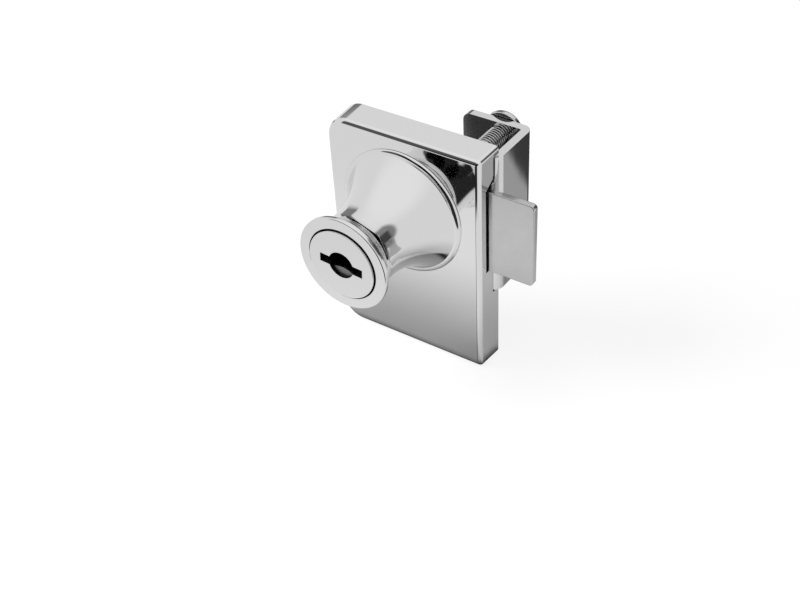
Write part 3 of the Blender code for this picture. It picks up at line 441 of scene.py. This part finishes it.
def make_cover():
    width, height = COVER_RIGHT - COVER_LEFT, COVER_TOP - COVER_BOTTOM
    cover = cuboid("cover_shell", (COVER_LEFT, COVER_FRONT, COVER_BOTTOM), (COVER_RIGHT, 0, COVER_TOP))
    for x, radius, steps in ((COVER_LEFT, 6.0, 24), (COVER_RIGHT, 1.0, 10)):
        for z in (COVER_TOP, COVER_BOTTOM):
            round_off(cover, radius, steps, along_y(x, z))
    pick_edges(cover, lambda a, b: near(a.y, 0) and near(b.y, 0))
    middle = ((COVER_LEFT + COVER_RIGHT) / 2 * MM, 0, (COVER_TOP + COVER_BOTTOM) / 2 * MM)
    draft = (1 + 0.7 / width, 1, 1 + 0.7 / height)
    bpy.ops.transform.resize(value=draft, center_override=middle)
    bpy.ops.object.mode_set(mode="OBJECT")
    round_off(cover, 1.1, 10, lambda a, b: near(a.y, COVER_FRONT) and near(b.y, COVER_FRONT), 0.38)
    cavity = cuboid("cavity", (COVER_LEFT + 1.5, COVER_INSIDE, COVER_BOTTOM + 1.5), (COVER_RIGHT - 1.5, 1, COVER_TOP - 1.5))
    for z in (COVER_TOP - 1.5, COVER_BOTTOM + 1.5):
        round_off(cavity, 4.5, 12, along_y(COVER_LEFT + 1.5, z))
        round_off(cavity, 0.3, 3, along_y(COVER_RIGHT - 1.5, z))
    cut(cover, cavity)
    join(cover, turned("knob", knob_outside(), steps=256))
    cut(cover, turned("knob_hollow", knob_inside(), steps=256))
    join(cover, *inner_walls())
    holes = [pin("boss_hole", 1.8, (x, -5.9, z), (x, -1, z), 48) for x, z in BOSSES]
    cut(cover, *holes, side_opening(), cuboid("key_slot", (-1.3, -27.75, -8.8), (1.3, -23.85, -7.4)))
    break_edges(cover, 0.12, 55)
    smooth(cover)
    wear(cover, COVER_CHROME, COVER_INSIDE_ZINC, inside_cover)
    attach(cover, "housing")
    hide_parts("cover")


def inside_cover(p):
    """Faces in the bore behind its edge, in the hollow knob, and in the cavity behind the rim."""
    from_axis = math.hypot(p.x, p.z)
    in_bore = from_axis < 9.2 and KNOB_FRONT + 0.1 < p.y < BORE_SHOULDER + 0.5
    in_knob = from_axis < inner_radius(p.y) and BORE_SHOULDER < p.y < COVER_FRONT - 0.3
    between_sides = COVER_LEFT + 1.4 < p.x < COVER_RIGHT - 1.4
    between_ends = COVER_BOTTOM + 1.4 < p.z < COVER_TOP - 1.4
    in_cavity = COVER_INSIDE - 0.8 < p.y < -0.1 and between_sides and between_ends
    return in_bore or in_knob or in_cavity


def inner_radius(y):
    """Radius halfway through the wall of the hollow knob."""
    sweep = tangent_arc(*SWEEP, 24)
    return min(sweep, key=lambda point: abs(point[1] - y))[0] - 0.75


def inner_walls():
    """Rails beside the bolt, low ribs that it slides on, and bosses for the bracket's screws."""
    walls = []
    for sign in (1, -1):
        z = sorted((sign * 11.45 + BOLT_MIDDLE, sign * 12.45 + BOLT_MIDDLE))
        walls.append(cuboid("rail", (9.02, -7.05, z[0]), (20.75, -2.39, z[1])))
        walls.append(cuboid("rail", (-19.85, -7.05, z[0]), (-9.02, -2.39, z[1])))
        rib = sign * 8.55 + BOLT_MIDDLE
        walls.append(cuboid("slide_rib", (12.2, -7.05, rib - 0.6), (20.75, -4.86, rib + 0.6)))
    walls += [pin("boss", 2.8, (x, -7.05, z), (x, -2.39, z), 64) for x, z in BOSSES]
    return walls


# ---- the key cylinder


def make_plug():
    profile = [
        (0, PLUG_FRONT),
        *arc((8.68, PLUG_FRONT + 0.15), 0.15, -90, 0, 5),
        (8.83, -28.55),
        (6.0, -28.55),
        (6.0, -11.0),
        (2.6, -11.0),
        (2.6, -6.35),
        (2.0, -6.35),
        (2.0, -5.45),
        (2.6, -5.45),
        (2.6, -5.0),
        (0, -5.0),
    ]
    plug = turned("plug_skin", profile)
    keyhole = cuboid("keyhole", (-5.8, PLUG_FRONT - 1, -1.15), (5.8, PLUG_FRONT + 2.8, 1.15))
    round_hole = pin("round_hole", 3.4, (0, PLUG_FRONT - 1, 0), (0, CHAMBER_FRONT + 0.125, 0), 128)
    cut(plug, keyhole, round_hole)
    break_edges(plug, 0.06, 60)
    openings = [
        cuboid("chamber", (-3.6, CHAMBER_FRONT, -4.0), (3.6, CHAMBER_REAR, 2.5)),
        cuboid("knuckle_pocket", (-3.6, CHAMBER_FRONT, -4.95), (3.6, HINGE_Y + 1.075, 0)),
        pin("pin_hole", 0.65, (-5.1, HINGE_Y, HINGE_Z), (5.1, HINGE_Y, HINGE_Z), 32),
        cuboid("keyway", (-4.6, CHAMBER_REAR - 0.3, -1.25), (4.6, WAFER_PLACES[-1] + 0.8, 1.25)),
        cuboid("tail_flat", (-4, -10.7, -4), (-1.9, -4, 4)),
        cuboid("tail_flat", (1.9, -10.7, -4), (4, -4, 4)),
    ]
    cut(plug, *[cuboid("wafer_slot", (-7, y - 0.65, -3.45), (7, y + 0.65, 3.45)) for y in WAFER_PLACES])
    for index, y in enumerate(WAFER_PLACES):
        side = 1 if index % 2 == 0 else -1
        x = sorted((side * 1.85, -side * 3.25))
        z = sorted((0, side * 4.65))
        openings.append(cuboid("pocket", (x[0], y - 0.8, z[0]), (x[1], y + 0.8, z[1])))
    cut(plug, *openings)
    plug.rotation_euler.y = CYLINDER_TILT
    settle(plug, "plug_skin")
    smooth(plug, 20)
    # Painted shade: every face behind the plug's front face, in the keyhole, round hole, chamber and keyway, is near
    # black
    wear(plug, PLUG_CHROME, KEYWAY_SHADE, lambda p: p.y > PLUG_FRONT + 0.16)
    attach(plug, "plug")
    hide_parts("plug")


# ---- bolt and bracket


def make_bolt():
    low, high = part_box("bolt")
    low, high = low / MM, high / MM
    bolt = cuboid("bolt_plate", low, high)
    for x in (low.x, high.x):
        for z in (low.z, high.z):
            round_off(bolt, 1.1, 10, along_y(x, z))
    slot = cuboid("drive_slot", (5.5 - 2.958, low.y - 1, -7.3), (5.5 + 2.958, high.y + 1, 7.3))
    for x in (5.5 - 2.958, 5.5 + 2.958):
        for z in (-7.3, 7.3):
            round_off(slot, 1.1, 8, along_y(x, z))
    cut(bolt, slot)
    break_edges(bolt, 0.22, 50, 4)
    smooth(bolt)
    wear(bolt, BOLT_STEEL)
    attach(bolt, "bolt")
    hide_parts("bolt")


def make_bracket():
    left, right = -16.5, WEB_OUTER
    rear = JAW + SHEET
    bracket = cuboid("bracket_fold", (left, -SHEET, BRACKET_BOTTOM), (right, rear, BRACKET_TOP))
    cut(bracket, cuboid("jaw", (left - 5, 0, -FAR), (right - SHEET, JAW, FAR)))
    rear_end = right - 17.8
    cut(bracket, cuboid("short_leg", (left - 5, JAW - 3, -FAR), (rear_end, rear + 3, FAR)))
    for y in (-SHEET, rear):
        round_off(bracket, 2.5, 16, along_z(right, y))
    for y in (0, JAW):
        round_off(bracket, 0.41, 6, along_z(right - SHEET, y))
    for x in (left, rear_end):
        for z in (BRACKET_TOP, BRACKET_BOTTOM):
            round_off(bracket, 2.0, 12, along_y(x, z))
    cone = [(0, -SHEET - 1), (1.8, -SHEET - 1), (1.8, -1.4), (4.2, 1), (0, 1)]
    cut(bracket, *[turned("countersink", cone, place, 96) for place in BOSSES])
    holes = [pin("clamp_hole", 2.7, (SCREW_X, JAW - 1, z), (SCREW_X, rear + 1, z)) for z in SCREW_HEIGHTS]
    cut(bracket, *holes)
    break_edges(bracket, 0.16, 50, 3)
    smooth(bracket)
    wear(bracket, SHEET_CHROME)
    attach(bracket, "housing")
    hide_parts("bracket")


# ---- screws


def cross_recess(name, centre, top, depth, span, width):
    """A driver's cross, narrower at its floor, ready to be cut from a head."""
    x, z = centre
    arms = []
    for wide, tall in ((span, width), (width, span)):
        arm = cuboid(name, (x - wide / 2, top - depth, z - tall / 2), (x + wide / 2, top + 1, z + tall / 2))
        pick_edges(arm, lambda a, b: near(a.y, top - depth) and near(b.y, top - depth))
        middle = (x * MM, (top - depth) * MM, z * MM)
        bpy.ops.transform.resize(value=(0.55, 1, 0.55), center_override=middle)
        bpy.ops.object.mode_set(mode="OBJECT")
        arms.append(arm)
    join(arms[0], arms[1])
    return arms[0]


def threaded_rod(name, centre, low, high, radius, depth):
    """A round bar whose side is moved to a helical 60 degree thread that runs out at both ends."""
    rows = round((high - low) / THREAD_PITCH * 14)
    profile = [(0, low)] + [(radius, low + (high - low) * row / rows) for row in range(rows + 1)] + [(0, high)]
    rod = turned(name, profile, centre, 72)
    x0, z0 = centre
    for vertex in rod.data.vertices:
        x, y, z = vertex.co.x / MM - x0, vertex.co.y / MM, vertex.co.z / MM - z0
        distance = math.hypot(x, z)
        if distance < radius / 2:
            continue
        phase = (y / THREAD_PITCH - math.atan2(x, z) / (2 * math.pi)) % 1
        valley = max(0.0, min(1.0, (abs(phase - 0.5) * 2 - 0.12) / 0.72))
        fade = min(1.0, (y - low) / 0.7, (high - y) / 0.5)
        shrink = 1 - depth * (valley * fade + (1 - fade)) / radius
        vertex.co.x = (x0 + x * shrink) * MM
        vertex.co.z = (z0 + z * shrink) * MM
    return rod


def make_clamp_screw(name, z):
    seat = JAW + SHEET + 0.3
    head_r, head_h = 4.9, 2.6
    crown = [
        (head_r * math.cos(a), seat + head_h * (0.35 + 0.65 * math.sin(a)))
        for a in (math.pi / 2 * step / 24 for step in range(25))
    ]
    head = turned("head", [(0, seat - 1.2), (2.1, seat - 1.2), (2.1, seat), (head_r - 0.15, seat), (head_r, seat + 0.15), *crown], (SCREW_X, z))
    cut(head, cross_recess("recess", (SCREW_X, z), seat + head_h, 1.6, 4.6, 1.0))
    break_edges(head, 0.08, 50)
    smooth(head)
    wear(head, SCREW_ZINC)
    rod = threaded_rod("thread", (SCREW_X, z), 2.9, seat - 0.3, 2.4, 0.42)
    # Painted shade in the thread: the faces below 2.13 mm radius, in the roots, are dark
    wear(rod, SCREW_ZINC, THREAD_ROOT_SHADE, lambda p: math.hypot(p.x - SCREW_X, p.z - z) < 2.13)
    for polygon in rod.data.polygons:
        polygon.use_smooth = True
    tip = turned("tip", [(0, 1.4), (1.05, 1.4), (1.2, 1.55), (1.2, 3.2), (0, 3.2)], (SCREW_X, z), 64)
    smooth(tip)
    wear(tip, SCREW_ZINC)
    only(head)
    rod.select_set(True)
    tip.select_set(True)
    bpy.ops.object.join()
    head.name = head.data.name = f"clamp_screw_{name}_threaded"
    for polygon in head.data.polygons:
        polygon.use_smooth = True
    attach(head, f"screw_{name}")
    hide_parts(f"clamp_screw_{name}")


def make_cap(name, z):
    profile = [
        (0, 0.4),
        *arc((2.8, 0.7), 0.3, -90, 0, 6),
        *arc((2.95, 2.45), 0.15, 0, 90, 4),
        (1.45, 2.6),
        (1.45, 1.1),
        (0, 1.1),
    ]
    cap = smooth(turned(f"cap_{name}_moulded", profile, (SCREW_X, z), 96))
    wear(cap, CAP_PLASTIC)
    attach(cap, f"cap_{name}")
    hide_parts(f"pressure_cap_{name}")


def make_bracket_screw(index, centre):
    profile = [(0, -5.6), (1.0, -5.6), (1.5, -5.1), (1.5, -1.5), (2.85, -0.2), (2.9, -0.15), (2.86, -0.1), (0, -0.1)]
    screw = turned(f"bracket_screw_{index}_head", profile, centre, 96)
    cut(screw, cross_recess("recess", centre, -0.1, 1.1, 3.4, 0.7))
    break_edges(screw, 0.05, 60)
    smooth(screw)
    wear(screw, SCREW_ZINC)
    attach(screw, "housing")
    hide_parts(f"bracket_screw_{index}")


# ---- studio


def place_camera():
    eye = Vector((0.14154, -0.20226, 0.16903))
    ahead = Vector((-0.461, 0.624, -0.632)).normalized()
    right = ahead.cross(Vector((0, 0, 1))).normalized()
    up = right.cross(ahead)
    roll = math.radians(-3.589)
    side = math.cos(roll) * right + math.sin(roll) * up
    top = math.cos(roll) * up - math.sin(roll) * right
    camera = bpy.data.cameras.new("camera")
    camera.lens = 55.971
    camera.sensor_width = 36
    camera.clip_start = 0.01
    holder = bpy.data.objects.new("camera", camera)
    bpy.context.scene.collection.objects.link(holder)
    turn = Matrix((side, top, -ahead)).transposed()
    holder.matrix_world = Matrix.Translation(eye) @ turn.to_4x4()
    bpy.context.scene.camera = holder


def softbox(name, place, aim, size, power):
    lamp = bpy.data.lights.new(name, "AREA")
    lamp.shape = "RECTANGLE"
    lamp.size, lamp.size_y = size
    lamp.energy = power
    holder = bpy.data.objects.new(name, lamp)
    bpy.context.scene.collection.objects.link(holder)
    holder.visible_glossy = False
    holder.location = place
    holder.rotation_euler = (Vector(aim) - Vector(place)).to_track_quat("-Z", "Y").to_euler()


def heading(azimuth, elevation):
    """A direction in degrees: azimuth from +X towards +Y, elevation above the floor."""
    a, e = math.radians(azimuth), math.radians(elevation)
    return Vector((math.cos(a) * math.cos(e), math.sin(a) * math.cos(e), math.sin(e)))


def ramp(tree, value, start, end, low, high):
    """A soft step of a value between two numbers."""
    step = node(tree, "ShaderNodeMapRange", {"Value": value}, interpolation_type="SMOOTHSTEP")
    limits = {"From Min": start, "From Max": end, "To Min": low, "To Max": high}
    for key, number in limits.items():
        step.inputs[key].default_value = number
    return step.outputs["Result"]


def calculate(tree, operation, first, second):
    return node(tree, "ShaderNodeMath", {0: first, 1: second}, operation=operation).outputs[0]


def around(tree, direction, azimuth, elevation, inner, outer, level):
    """1 away from a heading and a lower level near it, with a soft edge between two angles in degrees."""
    towards = heading(azimuth, elevation)
    facing = node(tree, "ShaderNodeVectorMath", {0: direction, 1: towards}, operation="DOT_PRODUCT")
    cosines = [math.cos(math.radians(angle)) for angle in (outer, inner)]
    return ramp(tree, facing.outputs["Value"], *cosines, 1.0, level)


def light_studio():
    """A white tent round the lock. Polished metal shows its dim rear and the dark room behind its opening."""
    world = bpy.data.worlds.new("white_tent")
    bpy.context.scene.world = world
    world.use_nodes = True
    tree = world.node_tree
    tree.nodes.clear()
    rays = node(tree, "ShaderNodeLightPath").outputs
    direction = node(tree, "ShaderNodeTexCoord").outputs["Generated"]
    height = node(tree, "ShaderNodeSeparateXYZ", {"Vector": direction}).outputs["Z"]
    tent = ramp(tree, height, 0.5, 0.9, 0.81, 0.92)
    # The opening is a long dark shape, askew, where the camera looks in
    for azimuth, elevation, inner, outer, level in OPENING:
        tent = calculate(tree, "MULTIPLY", tent, around(tree, direction, azimuth, elevation, inner, outer, level))
    behind = around(tree, direction, 90, 0, 47, 58, 0.0)
    low = ramp(tree, height, 0.4, 0.53, 0.0, 1.0)
    rear = ramp(tree, calculate(tree, "MAXIMUM", behind, low), 0.0, 1.0, 0.19, 1.0)
    tent = calculate(tree, "MULTIPLY", tent, rear)
    seen = calculate(tree, "MAXIMUM", rays["Is Glossy Ray"], rays["Is Transmission Ray"])
    backdrop = node(tree, "ShaderNodeBackground", {"Color": (1, 1, 1, 1), "Strength": tent})
    fill = node(tree, "ShaderNodeBackground", {"Color": (1, 1, 1, 1), "Strength": 0.42})
    paper = node(tree, "ShaderNodeBackground", {"Color": (1, 1, 1, 1), "Strength": 1.0})
    mirrored = node(tree, "ShaderNodeMixShader", {0: seen, 1: fill.outputs[0], 2: backdrop.outputs[0]})
    choice = node(tree, "ShaderNodeMixShader", {0: rays["Is Camera Ray"], 1: mirrored.outputs[0], 2: paper.outputs[0]})
    node(tree, "ShaderNodeOutputWorld", {"Surface": choice.outputs[0]})
    softbox("key_softbox", (-0.36, -0.26, 0.4), (0, 0, -0.04), (0.3, 0.3), 3.4)


def foot_shade(tree, place):
    """Darkens the paper close to the cover's lower edge, where next to no light gets in."""
    middle = ((COVER_LEFT + COVER_RIGHT) / 2 * MM, COVER_FRONT / 2 * MM, 0)
    half = ((COVER_RIGHT - COVER_LEFT) / 2 * MM, -COVER_FRONT / 2 * MM, 1)
    offset = node(tree, "ShaderNodeVectorMath", {0: place, 1: middle}, operation="SUBTRACT").outputs[0]
    offset = node(tree, "ShaderNodeVectorMath", {0: offset}, operation="ABSOLUTE").outputs[0]
    offset = node(tree, "ShaderNodeVectorMath", {0: offset, 1: half}, operation="SUBTRACT").outputs[0]
    offset = node(tree, "ShaderNodeVectorMath", {0: offset, 1: (0, 0, 0)}, operation="MAXIMUM").outputs[0]
    away = node(tree, "ShaderNodeVectorMath", {0: offset}, operation="LENGTH").outputs["Value"]
    close = ramp(tree, away, 0.0, 0.003, 0.05, 1.0)
    across = node(tree, "ShaderNodeSeparateXYZ", {"Vector": place}).outputs["X"]
    beside = ramp(tree, across, COVER_RIGHT * MM - 0.003, COVER_RIGHT * MM + 0.004, 0.0, 1.0)
    # A wider painted shadow, dimming the paper out to 4 cm from the foot, though not beside the right wall
    wide = calculate(tree, "MAXIMUM", ramp(tree, away, 0.0, 0.04, 0.44, 1.0), beside)
    return calculate(tree, "MULTIPLY", close, wide)


def lay_floor():
    """White paper under the lock. The camera sees it white with its real shadow; mirrors and bounced light see painted
    shade: a painted shadow strip and dark ground behind the lock, a dark fan towards the camera, and painted shade at
    the cover's foot.
    """
    clear_selection()
    bpy.ops.mesh.primitive_plane_add(size=4, location=(0, 0, COVER_BOTTOM * MM - 0.00035))
    floor = bpy.context.object
    floor.name = "floor"
    material, tree, shader = blank("white_paper")
    shader.inputs["Roughness"].default_value = 0.9
    rays = node(tree, "ShaderNodeLightPath").outputs
    place = node(tree, "ShaderNodeTexCoord").outputs["Object"]
    # Painted shade behind the lock, along an askew line close behind it: a grey strip of painted shadow, then painted
    # near-black ground further back
    rear = node(tree, "ShaderNodeVectorMath", {0: place, 1: (-0.67, 0.74, 0)}, operation="DOT_PRODUCT").outputs["Value"]
    edge = calculate(tree, "MULTIPLY", ramp(tree, rear, -0.011, -0.006, 1.0, 0.48), ramp(tree, rear, 0.0125, 0.0155, 1.0, 0.12))
    reach = node(tree, "ShaderNodeVectorMath", {0: place}, operation="LENGTH").outputs["Value"]
    beyond = node(tree, "ShaderNodeVectorMath", {0: place, 1: heading(65, 0)}, operation="DOT_PRODUCT").outputs["Value"]
    to_rear = ramp(tree, calculate(tree, "DIVIDE", beyond, reach), 0.42, 0.55, 1.0, 0.0)
    behind = calculate(tree, "MAXIMUM", edge, to_rear)
    # Towards the camera the paper is painted near black in a fan that starts 8 cm off, a painted dark reflection for
    # the chrome
    ahead = node(tree, "ShaderNodeVectorMath", {0: place, 1: heading(-72, 0)}, operation="DOT_PRODUCT").outputs["Value"]
    spread = ramp(tree, calculate(tree, "DIVIDE", ahead, reach), 0.85, 0.91, 0.0, 1.0)
    fan = calculate(tree, "MULTIPLY", spread, ramp(tree, ahead, 0.07, 0.088, 0.0, 1.0))
    before = ramp(tree, fan, 0.0, 1.0, 1.0, 0.03)
    # The paper's painted shade as mirrors and bounced light see it: the strips behind, the dark fan and the shade at
    # the foot
    paper = calculate(tree, "MULTIPLY", calculate(tree, "MULTIPLY", behind, before), foot_shade(tree, place))
    tone = node(tree, "ShaderNodeMix", {"Factor": paper}, data_type="RGBA")
    tone.inputs["A"].default_value = srgb("#101010")
    tone.inputs["B"].default_value = srgb("#F4F4F4")
    tree.links.new(tone.outputs["Result"], shader.inputs["Base Color"])
    # Further off, where the lamp's light would fall away, mirrors see painted light: the paper glows at the tent's
    # level, its painted shade included
    far = ramp(tree, reach, 0.012, 0.1, 0.0, 1.0)
    tent_paper = node(tree, "ShaderNodeEmission", {"Color": (1, 1, 1, 1), "Strength": calculate(tree, "MULTIPLY", paper, 0.81)})
    mirrored = node(tree, "ShaderNodeMixShader", {0: far, 1: shader.outputs[0], 2: tent_paper.outputs[0]})
    lit = node(tree, "ShaderNodeMixShader", {0: rays["Is Glossy Ray"], 1: shader.outputs[0], 2: mirrored.outputs[0]})
    white = node(tree, "ShaderNodeBsdfDiffuse", {"Color": srgb("#F4F4F4")})
    glow = node(tree, "ShaderNodeEmission", {"Color": (1, 1, 1, 1), "Strength": 1.1})
    away = ramp(tree, reach, 0.15, 0.4, 0.76, 1.0)
    sheet = node(tree, "ShaderNodeMixShader", {0: away, 1: white.outputs[0], 2: glow.outputs[0]})
    mixed = node(tree, "ShaderNodeMixShader", {0: rays["Is Camera Ray"], 1: lit.outputs[0], 2: sheet.outputs[0]})
    tree.links.new(mixed.outputs[0], tree.nodes["Material Output"].inputs["Surface"])
    wear(floor, material)


make_cover()
make_plug()
make_bolt()
make_bracket()
for label, height in zip(("upper", "lower"), SCREW_HEIGHTS):
    make_clamp_screw(label, height)
    make_cap(label, height)
for number, spot in enumerate(BOSSES):
    make_bracket_screw(number + 1, spot)

CARRIED_OVER = {
    "cylinder_barrel": BARREL_ZINC,
    "barrel_circlip": SPRING_STEEL,
    "drive_cam": BARREL_ZINC,
    "cam_clip": SPRING_STEEL,
    "dust_shutter": SHUTTER_STEEL,
    "shutter_pin": SCREW_ZINC,
    "shutter_spring": SPRING_STEEL,
}
for number in range(1, 6):
    CARRIED_OVER[f"wafer_{number}"] = WAFER_BRASS
    CARRIED_OVER[f"wafer_spring_{number}"] = SPRING_STEEL
for name, material in CARRIED_OVER.items():
    wear(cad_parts[name], material)

place_camera()
light_studio()
lay_floor()
bpy.context.scene.view_settings.view_transform = "Standard"
